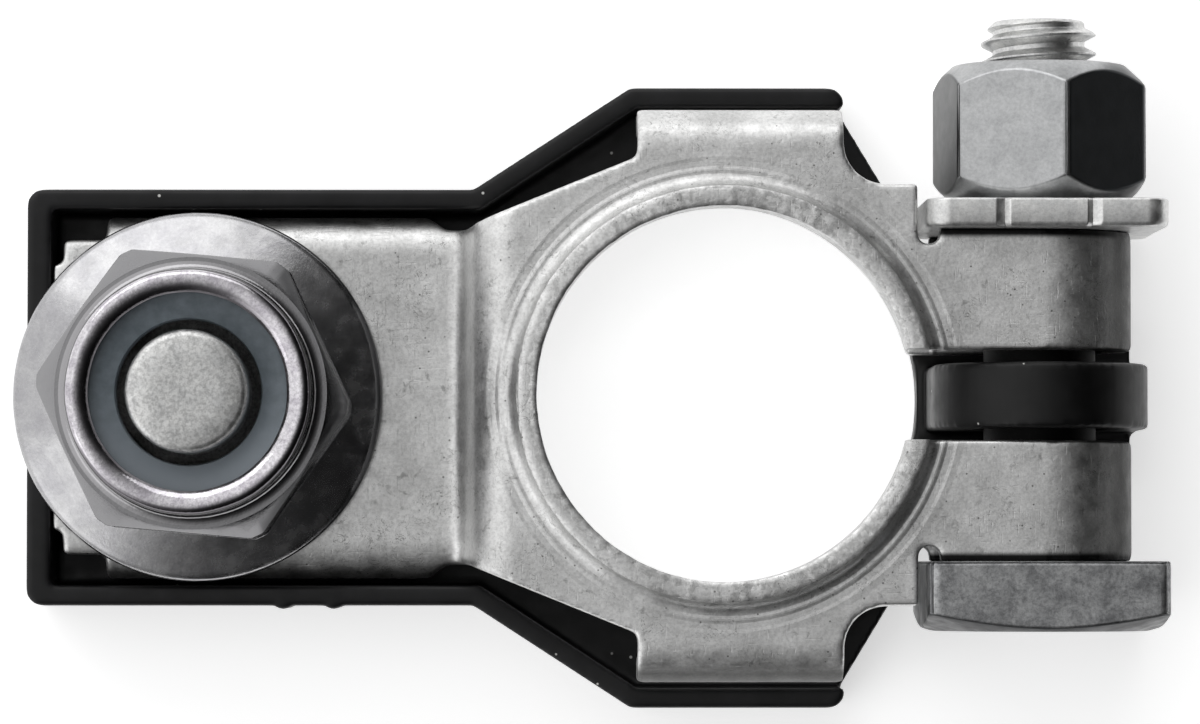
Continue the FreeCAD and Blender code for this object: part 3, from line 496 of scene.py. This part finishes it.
def thread_points(diameter, pitch, start, end, tip_radius, phase=0.0):
    """A right-hand thread along its own axis, as angle, radius and level.

    The level rises by one pitch per turn along each row. The radius falls from the crest by 0.61 pitch in
    straight flanks with an eighth of a pitch left flat at the crest and a quarter at the root, and no point is
    wider than the bevel of 45 degrees at the end.
    """
    turns = int(np.ceil((end - start) / pitch)) + 2
    row = np.arange(-THREAD_STEPS, turns * THREAD_STEPS)[:, None]
    angle = np.linspace(0, 2 * np.pi, THREAD_COLUMNS)[None, :]
    level = np.clip(start + row * pitch / THREAD_STEPS + pitch * angle / (2 * np.pi), start, end)
    place = ((level - start) / pitch - angle / (2 * np.pi) + phase) % 1.0
    flank = np.clip((np.abs(2 * place - 1) - THREAD_CREST) / THREAD_FLANK, 0, 1)
    radius = diameter / 2 - THREAD_DEPTH * pitch * flank
    return angle + 0 * level, np.minimum(radius, tip_radius + end - level), level


def zinc_finish(name, light, dark, rough, mottling, size=1.3, speckle=0.15, films=(), bumps=0.4, uneven=0.1):
    """Zinc plate: two greys in ragged patches, fine darker specks, and a fine tumbled grain.

    The painted shading list holds (share function, its axis, start and end, colour painted there): painted shade and
    reflection by the surface's facing or height, some entries giving a lighter tone back where an earlier one darkened;
    bumps is the strength of the coarser unevenness, and uneven how far the roughness strays.
    """
    material, shader = finish_of(name, light, 1.0, rough)
    links = material.node_tree.links
    ragged = grain(material, size, detail=6, roughness=0.7, twist=0.5)
    fine = grain(material, size=0.17, detail=3, roughness=0.7)
    patches = blended(material, ramp(material, ragged, [(0.42, 0.0), (0.62, mottling)]), light, dark)
    colour = product(material, patches, ramp(material, fine, [(0.36, 1 - speckle), (0.60, 1.0)]))
    # Painted shade and reflection: colours laid over the zinc by the surface's facing or height.
    for share, axis, start, end, film in films:
        colour = blended(material, share(material, axis, start, end), colour, film)
    links.new(colour, shader.inputs["Base Color"])
    spread = [(0.3, rough - 0.8 * uneven), (0.7, rough + 1.2 * uneven)]
    links.new(ramp(material, grain(material, size * 0.6, detail=4), spread), shader.inputs["Roughness"])
    relief(
        material,
        shader,
        [
            (grain(material, size * 0.8, detail=3, roughness=0.6), 0.02, bumps),
            (grain(material, size=0.30, detail=3, roughness=0.6), 0.008, bumps),
            (grain(material, size=0.11, detail=2), 0.005, 0.7),
        ],
    )
    return material


zinc_stud = zinc_finish("zinc_stud", ZINC_DULL, ZINC_DARK, rough=0.42, mottling=0.5, size=0.8, speckle=0.35)
threaded = on_stud(*thread_points(*STUD_THREAD, *STUD_THREAD_LEVELS, STUD_DOG))
stud_thread = piece(surface("stud_thread", threaded, round_closed=False), "clamp", [], zinc_stud, angle=50)

turn = full_turn(96)
inset, lift = np.array(DOG_END).T[:, :, None]
dent, waves, seed = DOG_DENTS
dog_radius = STUD_DOG - inset + (lift > DENTED_FROM) * dent * ripple(turn, waves, seed)
dog = on_stud(turn, dog_radius, STUD_TOP + lift)
stud_end = piece(surface("stud_end", dog), "clamp", [], zinc_stud, angle=50)

across = np.array([-1, 1, 1, -1]) * STUD_HEAD_REACH
lengthwise = np.repeat(STUD_HEAD_SPAN, 2)
block = np.stack([np.stack([lengthwise, across, np.full(4, level)], axis=1) for level in STUD_HEAD_LEVELS])
stud_head = piece(surface("stud_head", block), "clamp", ["stud_bolt"], zinc_stud, edge=0.5)

# Clamp bolt. Cold-headed M6 bolt, zinc plated, with a thick square head whose corners are turned off; it squeezes the
# two ears together, and the strip's shoulder stops its head from turning.
BOLT_X = 16.5
BOLT_Z = -4.75
EAR_REACH = 8.5
BOLT_THREAD = (6.0, 1.0)
BOLT_END = 19.5
BOLT_TIP = 2.3
THREAD_PHASE = 0.46
SHANK_RADIUS = 2.9
SHANK_END = 8.0
HEAD_ACROSS = 12.4
HEAD_CORNER = 0.5
HEAD_THICK = 3.6
HEAD_FACE = 5.6
HEAD_SLOPE = 16.5
HEAD_EDGE = 0.12
HEAD_GREY = (0.46, 0.465, 0.47)
HEAD_BLACK = (0.18, 0.183, 0.19)
HEAD_SHADE = (0.12, 0.123, 0.128)
HEAD_RIM = (0.03, 0.031, 0.033)
# Painted shade: the near-black colour of the shank inside the ears and the eye.
BOLT_GREASE = (0.015, 0.015, 0.015)


def on_bolt(angle, radius, level):
    """Points round the clamp bolt's axis: the level runs along +Y, and the angle turns from +X by the right hand."""
    angle, radius, level = np.broadcast_arrays(angle, radius, level)
    return np.stack([BOLT_X + radius * np.cos(angle), level, BOLT_Z - radius * np.sin(angle)], axis=2)


def rows_of(turn, *pairs):
    """Rows of a turned grid from (radius, level) pairs, where each is a number or an array over the turn's angles."""
    radius = np.concatenate([np.atleast_2d(np.broadcast_to(pair[0], turn.shape)) for pair in pairs])
    level = np.concatenate([np.atleast_2d(np.broadcast_to(pair[1], turn.shape)) for pair in pairs])
    return turn, radius, level


def rounded_polygon(angle, sides, flats, corner, first):
    """Distance from the axis to a regular polygon with rounded corners.

    Along a flat it is half the width over the cosine of the angle from the flat's middle; past the start of a
    corner it is the far crossing of that ray with the corner's circle. first is a corner's angle in degrees.
    """
    half = np.pi / sides
    near = (angle - np.radians(first) + half + half) % (2 * half) - half
    from_middle = np.abs(near)
    inside = (flats / 2 - corner) / np.cos(half)
    begin = np.arctan2((flats / 2 - corner) * np.tan(half), flats / 2)
    from_corner = half - from_middle
    arc = inside * np.cos(from_corner) + np.sqrt(np.maximum(corner**2 - (inside * np.sin(from_corner)) ** 2, 0))
    return np.where(from_middle < begin, flats / 2 / np.cos(from_middle), arc)


def facing(material, axis, start, end):
    """0 where the surface's own normal has at most the start value on the axis, 1 from the end value on."""
    return rise(material, "Normal", axis, start, end)


# Painted shade on the head: darker on faces turned towards -X, nearly black on faces turned towards -Y, and the dark
# mottle grey on the end face.
HEAD_FILMS = [
    (facing, "X", -0.4, -0.8, HEAD_SHADE),
    (facing, "Y", -0.3, -0.8, HEAD_RIM),
    (facing, "Y", -0.97, -0.99, HEAD_BLACK),
]
zinc_bolt = zinc_finish(
    "zinc_bolt", HEAD_GREY, HEAD_BLACK, rough=0.36, mottling=0.75, size=1.5, speckle=0.35, films=HEAD_FILMS
)
turn = full_turn(240)
side = rounded_polygon(turn, 4, HEAD_ACROSS, HEAD_CORNER, 45)
outer = -EAR_REACH - HEAD_THICK
cut = np.maximum(side - HEAD_FACE, 0) * np.tan(np.radians(HEAD_SLOPE))
head = rows_of(
    turn,
    (side * 0.6, -EAR_REACH),
    (side - HEAD_EDGE, -EAR_REACH),
    (side, -EAR_REACH - HEAD_EDGE),
    (side, outer + cut),
    (HEAD_FACE, outer),
    (HEAD_FACE * 0.5, outer),
)
bolt_head = piece(
    surface("bolt_head", on_bolt(*head)), "clamp", ["clamp_bolt"], zinc_bolt, edge=0.14, angle=14
)

zinc_thread = zinc_finish("zinc_thread", ZINC_DULL, ZINC_DARK, rough=0.34, mottling=0.6, size=0.7, speckle=0.2)
screw = on_bolt(*thread_points(*BOLT_THREAD, SHANK_END - 0.2, BOLT_END, BOLT_TIP, THREAD_PHASE))
bolt_thread = piece(
    surface("bolt_thread", screw, round_closed=False), "clamp", [], zinc_thread, angle=50
)

# Painted shade: the plain shank inside the ears and the eye is nearly black.
oily_zinc = finish_of("oily_zinc", BOLT_GREASE, 1.0, 0.6)[0]
shank = rows_of(turn, (SHANK_RADIUS, -EAR_REACH - 0.5), (SHANK_RADIUS, SHANK_END))
bolt_shank = piece(surface("bolt_shank", on_bolt(*shank)), "clamp", [], oily_zinc)

# Square washer. Thick pressed steel, zinc plated, with two shallow grooves across its upper edge; it spreads the
# nut's load over the folded ear.
WASHER_ACROSS = 12.4
WASHER_THICK = 1.5
WASHER_CORNER = 1.2
WASHER_BORE = 3.05
BORE_BEVEL = (0.2, 0.1)
# Roundings of its two edges, at the ear and at the nut: in from its side and away from the face.
EAR_EDGE = [(0.45, 0), (0.2, 0.03), (0.06, 0.12), (0, 0.3)]
NUT_EDGE = [(0, 0.12), (0.03, 0.05), (0.12, 0)]
GROOVES = (-2.335, 2.335)
GROOVE_WIDTH = 0.36
GROOVE_DEPTH = 0.26
WASHER_LIGHT = (0.76, 0.76, 0.75)
WASHER_DARK = (0.52, 0.525, 0.53)

turn = full_turn(960)
side = rounded_polygon(turn, 4, WASHER_ACROSS, WASHER_CORNER, 45)
dip = sum(np.clip(1 - np.abs(side * np.cos(turn) - middle) / GROOVE_WIDTH, 0, 1) for middle in GROOVES)
side = side - GROOVE_DEPTH * dip * (np.sin(turn) < 0)
inner, far = EAR_REACH, EAR_REACH + WASHER_THICK
wider, deep = BORE_BEVEL
square = rows_of(
    turn,
    (WASHER_BORE, inner + deep),
    (WASHER_BORE + wider, inner),
    *[(side - inset, inner + lift) for inset, lift in EAR_EDGE],
    *[(side - inset, far - lift) for inset, lift in NUT_EDGE],
    (WASHER_BORE + wider, far),
    (WASHER_BORE, far - deep),
)
zinc_washer = zinc_finish("zinc_washer", WASHER_LIGHT, WASHER_DARK, rough=0.38, mottling=0.5, size=1.1, speckle=0.2)
washer = piece(
    surface("washer", on_bolt(*square), down_closed=True),
    "washer",
    ["clamp_washer"],
    zinc_washer,
    angle=40,
)

# Clamp nut. Tall M6 hexagon nut, cold formed and zinc plated, bevelled at both ends by the turned tool.
NUT_FLATS = 10.0
NUT_CORNER = 0.35
NUT_HEIGHT = 7.2
NUT_FACE = 4.45
NUT_TURN = 39.5
NUT_SLOPE = 43
NUT_BORE = 2.6
NUT_FOOT = EAR_REACH + WASHER_THICK
NUT_GREY = (0.45, 0.455, 0.46)
NUT_DARK = (0.30, 0.305, 0.31)
# Painted shade on the nut: faces turned towards +X nearly black, faces turned towards -X dark grey, and the plain grey
# given back to faces turned fully towards +X.
NUT_FILMS = [
    (facing, "X", 0.35, 0.6, (0.032, 0.034, 0.036)),
    (facing, "X", 0.75, 0.9, NUT_GREY),
    (facing, "X", -0.6, -0.9, (0.08, 0.082, 0.082)),
]

turn = full_turn(288)
side = rounded_polygon(turn, 6, NUT_FLATS, NUT_CORNER, NUT_TURN)
cut = np.maximum(side - NUT_FACE, 0) * np.tan(np.radians(NUT_SLOPE))
top = NUT_FOOT + NUT_HEIGHT
hexagon = rows_of(
    turn,
    (NUT_BORE, NUT_FOOT + 0.6),
    (NUT_BORE + 0.6, NUT_FOOT),
    (NUT_FACE, NUT_FOOT),
    (side, NUT_FOOT + cut),
    (side, top - cut),
    (NUT_FACE, top),
    (NUT_BORE + 0.7, top),
    (NUT_BORE, top - 0.7),
)
zinc_nut = zinc_finish(
    "zinc_nut", NUT_GREY, NUT_DARK, rough=0.30, mottling=0.5, size=1.2, films=NUT_FILMS, bumps=0.06, uneven=0.03
)
nut = piece(
    surface("nut", on_bolt(*hexagon), down_closed=True),
    "clamp_nut",
    ["clamp_nut"],
    zinc_nut,
    edge=0.12,
    angle=16,
)

# Lock nut on the stud. M8 hexagon nut in bright zinc with a conical flange as its foot, and a thin collar on top that
# is rolled in over a nylon ring.
LOCK_RADIUS = 9.55
LOCK_RIM = 0.8
LOCK_BORE = 4.05
# Rows of the flange's edge: in from its rim and up from its foot.
LOCK_EDGE = [(0.25, 0.0), (0.04, 0.1), (0, 0.3), (0.02, 0.5), (0.12, 0.68), (0.35, LOCK_RIM)]
CONE_TOP = 6.3
CONE_HEIGHT = 2.25
CONE_HOLLOW = 0.25
LOCK_FLATS = 14.1
LOCK_CORNER = 0.5
LOCK_CORNER_RADIUS = 7.95
LOCK_TURN = 55
LOCK_SLOPE = 42
HEX_HEIGHT = 6.8
HEX_FACE = 6.9
CRIMP = 6.2
CRIMP_OPENING = 5.0
CRIMP_FOOT = 0.5
CRIMP_SEAT = 5.55
ROLL_CREST = 5.75
INNER_ROLL = 1.1
ROLL_DENTS = (0.02, (4, 9, 15), 21)
LOCK_HEIGHT = 9.9
RING_TOP = 9.05
BRIGHT_ZINC = (0.47, 0.468, 0.475)
BRIGHT_SHADE = (0.33, 0.326, 0.345)
# Painted shade: the darker tone of the lock nut's hexagon.
HEX_ZINC = (0.25, 0.248, 0.255)
# Painted shade on the lock nut: darker from above the flange up, nearly black on faces turned towards +X, and the
# darker tone given back to faces turned fully towards +X.
HEX_FILMS = [
    (along, "Z", -2.2, -1.2, HEX_ZINC),
    (facing, "X", 0.3, 0.6, (0.06, 0.06, 0.062)),
    (facing, "X", 0.75, 0.9, HEX_ZINC),
]
ROLLED_ZINC = (0.72, 0.70, 0.73)
ROLLED_SHADE = (0.40, 0.37, 0.42)
# Painted shade and reflection on the rolled collar: darker on faces turned towards +X and -Y and low at its foot,
# nearly black on steep faces, and grey given back to upright walls.
ROLL_FILMS = [
    (facing, "X", 0.15, 0.45, (0.20, 0.19, 0.205)),
    (facing, "Y", -0.15, -0.45, (0.20, 0.19, 0.205)),
    (along, "Z", 2.55, 2.25, (0.33, 0.325, 0.335)),
    (facing, "Z", 0.65, 0.45, (0.025, 0.024, 0.025)),
    (facing, "Z", 0.2, 0.05, (0.25, 0.247, 0.255)),
]

turn = full_turn(360)
side = np.minimum(rounded_polygon(turn, 6, LOCK_FLATS, LOCK_CORNER, LOCK_TURN), LOCK_CORNER_RADIUS)
slope = (CONE_HEIGHT - LOCK_RIM) / (LOCK_RADIUS - CONE_TOP)
cone_level = LOCK_RIM + (LOCK_RADIUS - LOCK_EDGE[-1][0] - side) * slope
drop = np.maximum(side - HEX_FACE, 0) * np.tan(np.radians(LOCK_SLOPE))
turn, radius, level = rows_of(
    turn,
    (LOCK_BORE, 0.6),
    (LOCK_BORE + 0.45, 0.02),
    *[(LOCK_RADIUS - inset, lift) for inset, lift in LOCK_EDGE],
    (LOCK_RADIUS - 0.5, LOCK_RIM + 0.15 * slope),
    (side + CONE_HOLLOW, cone_level - CONE_HOLLOW * slope),
    (side + 0.05, cone_level - 0.02),
    (side, cone_level + 0.08),
    (side, HEX_HEIGHT - drop - 0.12),
    (side - 0.04, HEX_HEIGHT - drop),
    (HEX_FACE, HEX_HEIGHT - 0.01),
    (CRIMP + 0.2, HEX_HEIGHT),
    (CRIMP - 0.1, HEX_HEIGHT + 0.05),
    (CRIMP - 0.3, HEX_HEIGHT + 0.4),
    (LOCK_BORE, HEX_HEIGHT + 0.4),
)
bright_zinc = zinc_finish(
    "bright_zinc", BRIGHT_ZINC, BRIGHT_SHADE, rough=0.20, mottling=0.55, size=1.8, speckle=0.1, films=HEX_FILMS
)
lock_nut = piece(
    surface("lock_nut", on_stud(turn, radius, PLATE_TOP + level), down_closed=True),
    "lock_nut",
    ["lock_nut"],
    bright_zinc,
    angle=35,
)

dent, waves, seed = ROLL_DENTS
wobble = dent * ripple(turn, waves, seed)
outer_roll = CRIMP - ROLL_CREST
lip = np.arcsin((ROLL_CREST - CRIMP_OPENING) / INNER_ROLL)
foot_rows = [
    (CRIMP + CRIMP_FOOT * (1 - np.sin(step)), HEX_HEIGHT + CRIMP_FOOT * (1 - np.cos(step)))
    for step in np.linspace(0, np.pi / 2, 7)
]
outer_rows = [
    (ROLL_CREST + outer_roll * np.cos(step) + wobble, LOCK_HEIGHT - outer_roll * (1 - np.sin(step)))
    for step in np.linspace(0, np.pi / 2, 9)
]
inner_rows = [
    (ROLL_CREST - INNER_ROLL * np.sin(step) + wobble, LOCK_HEIGHT - INNER_ROLL * (1 - np.cos(step)))
    for step in np.linspace(0, lip, 8)[1:]
]
turn, radius, level = rows_of(
    turn,
    (CRIMP + CRIMP_FOOT - 0.1, HEX_HEIGHT - 0.1),
    *foot_rows,
    *outer_rows,
    *inner_rows,
    (CRIMP_OPENING, RING_TOP + 0.02),
    (CRIMP_SEAT - 0.05, RING_TOP),
    (CRIMP_SEAT, HEX_HEIGHT + 0.5),
    (CRIMP_SEAT, HEX_HEIGHT - 0.1),
)
rolled_zinc = zinc_finish(
    "rolled_zinc", ROLLED_ZINC, ROLLED_SHADE, rough=0.11, mottling=0.6, size=0.9, speckle=0.25, films=ROLL_FILMS
)
rolled_edge = piece(
    surface("rolled_edge", on_stud(turn, radius, PLATE_TOP + level), down_closed=True),
    "lock_nut",
    [],
    rolled_zinc,
)

# Nylon ring. A plain grey washer of nylon, held in the lock nut's rolled collar, that grips the thread.
RING_LEVELS = (2.70, 4.28)
RING_RADIUS = 5.48
RING_BORE = 3.68
# Rows of its dished top: the radius and how far it lies below the ring's height.
RING_DISH = [
    (5.0, 0.02),
    (4.4, 0.14),
    (RING_BORE + 0.25, 0.34),
    (RING_BORE + 0.06, 0.42),
    (RING_BORE, 0.55),
]
NYLON = (0.11, 0.135, 0.155)
NYLON_LIGHT = (0.16, 0.19, 0.215)
NYLON_PALE = (0.22, 0.25, 0.28)
PALE_SPAN = (1.0, -4.5)
SCATTER = (0.0006, 0.0006, 0.0007)

low, high = RING_LEVELS
washer_ring = rows_of(
    full_turn(120),
    (RING_BORE, low),
    (RING_RADIUS, low),
    (RING_RADIUS, high),
    *[(radius, high - lower) for radius, lower in RING_DISH],
)
nylon, shader = finish_of("nylon", NYLON, 0.0, 0.5)
shader.inputs["Subsurface Weight"].default_value = 0.15
shader.inputs["Subsurface Radius"].default_value = SCATTER
links = nylon.node_tree.links
shade = ramp(nylon, grain(nylon, size=0.6, detail=4), [(0.35, 0.0), (0.7, 1.0)])
cloudy = blended(nylon, shade, NYLON, NYLON_LIGHT)
# Painted light: the ring grows paler towards -Y.
links.new(blended(nylon, along(nylon, "Y", *PALE_SPAN), cloudy, NYLON_PALE), shader.inputs["Base Color"])
relief(nylon, shader, [(grain(nylon, size=0.5, detail=3), 0.03, 0.5)])
ring = piece(
    surface("nylon_ring", on_stud(*washer_ring), down_closed=True),
    "lock_ring",
    ["lock_nut_insert"],
    nylon,
    angle=40,
)

# Table, studio light and camera. A white sheet of board that glows a little all over and more under the post's hole,
# a painted pool of light; a room bright on the left and dark on the right, and two broad soft windows of light.
FLOOR_LEVEL = -11.37
FLOOR_REACH = 900
FLOOR_WHITE = (0.92, 0.92, 0.92)
GLOW = 0.75
GLOW_REACH = 12.0
GLOW_STEPS = [(0.115, 0.75), (0.14, 1.0)]

board = bpy.data.meshes.new("board")
half = FLOOR_REACH * MM
board.from_pydata([(-half, -half, 0), (half, -half, 0), (half, half, 0), (-half, half, 0)], [], [(0, 1, 2, 3)])
floor = bpy.data.objects.new("board", board)
floor.location.z = FLOOR_LEVEL * MM
bpy.context.scene.collection.objects.link(floor)
white_board, shader = finish_of("white_board", FLOOR_WHITE, 0.0, 0.9)
shader.inputs["Specular IOR Level"].default_value = 0.0
nodes, links = white_board.node_tree.nodes, white_board.node_tree.links
# Painted pool of light: the board's glow is stronger within the post's hole than elsewhere.
spot = nodes.new("ShaderNodeTexCoord")
spread = nodes.new("ShaderNodeMapping")
spread.inputs["Scale"].default_value = (1 / (GLOW_REACH * MM),) * 3
round_glow = nodes.new("ShaderNodeTexGradient")
round_glow.gradient_type = "SPHERICAL"
links.new(spot.outputs["Object"], spread.inputs["Vector"])
links.new(spread.outputs["Vector"], round_glow.inputs["Vector"])
links.new(ramp(white_board, round_glow.outputs["Fac"], GLOW_STEPS), shader.inputs["Emission Color"])
shader.inputs["Emission Strength"].default_value = GLOW
floor.data.materials.append(white_board)

ROOM_LIGHT = (-0.890, 0.360, 0.281)
ROOM_STEPS = [
    (0.20, 0.01),
    (0.36, 0.03),
    (0.46, 0.07),
    (0.56, 0.22),
    (0.64, 0.42),
    (0.70, 0.66),
    (0.78, 0.86),
    (0.94, 0.80),
]
ROOM_POWER = 1.35

world = bpy.data.worlds.new("room")
world.use_nodes = True
nodes, links = world.node_tree.nodes, world.node_tree.links
heading = nodes.new("ShaderNodeTexCoord")
toward = nodes.new("ShaderNodeVectorMath")
toward.operation = "DOT_PRODUCT"
toward.inputs[1].default_value = ROOM_LIGHT
half_way = nodes.new("ShaderNodeMapRange")
half_way.inputs["From Min"].default_value = -1
links.new(heading.outputs["Generated"], toward.inputs[0])
links.new(toward.outputs["Value"], half_way.inputs["Value"])
links.new(ramp(world, half_way.outputs["Result"], ROOM_STEPS), nodes["Background"].inputs["Color"])
nodes["Background"].inputs["Strength"].default_value = ROOM_POWER
bpy.context.scene.world = world


def soft_window(name, place, width, height, power):
    """An area lamp at a place (mm) that faces the origin; its sides are in millimetres and its power in watts."""
    lamp = bpy.data.lights.new(name, "AREA")
    lamp.shape = "RECTANGLE"
    lamp.size, lamp.size_y = width * MM, height * MM
    lamp.energy = power
    made = bpy.data.objects.new(name, lamp)
    bpy.context.scene.collection.objects.link(made)
    made.location = [value * MM for value in place]
    made.rotation_euler = Vector([-float(value) for value in place]).to_track_quat("-Z", "Y").to_euler()
    return made


soft_window("window", (-150, 620, 380), width=1000, height=420, power=1.4)
soft_window("low_window", (-520, -380, 330), width=520, height=300, power=0.3)

CAMERA = (-9.92, -8.59, 297.25)
AIM = (-6.29, 1.82, -4.75)
SENSOR_WIDTH = 36
FOCAL_LENGTH = 174.9

view = bpy.data.cameras.new("camera")
view.sensor_width = SENSOR_WIDTH
view.lens = FOCAL_LENGTH
view.clip_start, view.clip_end = 0.01, 10
camera = bpy.data.objects.new("camera", view)
bpy.context.scene.collection.objects.link(camera)
camera.location = [value * MM for value in CAMERA]
ahead = np.array(AIM) - np.array(CAMERA)
back = -ahead / np.linalg.norm(ahead)
right = np.cross((0, 1, 0), back)
right /= np.linalg.norm(right)
camera.rotation_euler = Matrix(np.stack([right, np.cross(back, right), back], axis=1).tolist()).to_euler()
bpy.context.scene.camera = camera
bpy.context.scene.view_settings.view_transform = "Standard"
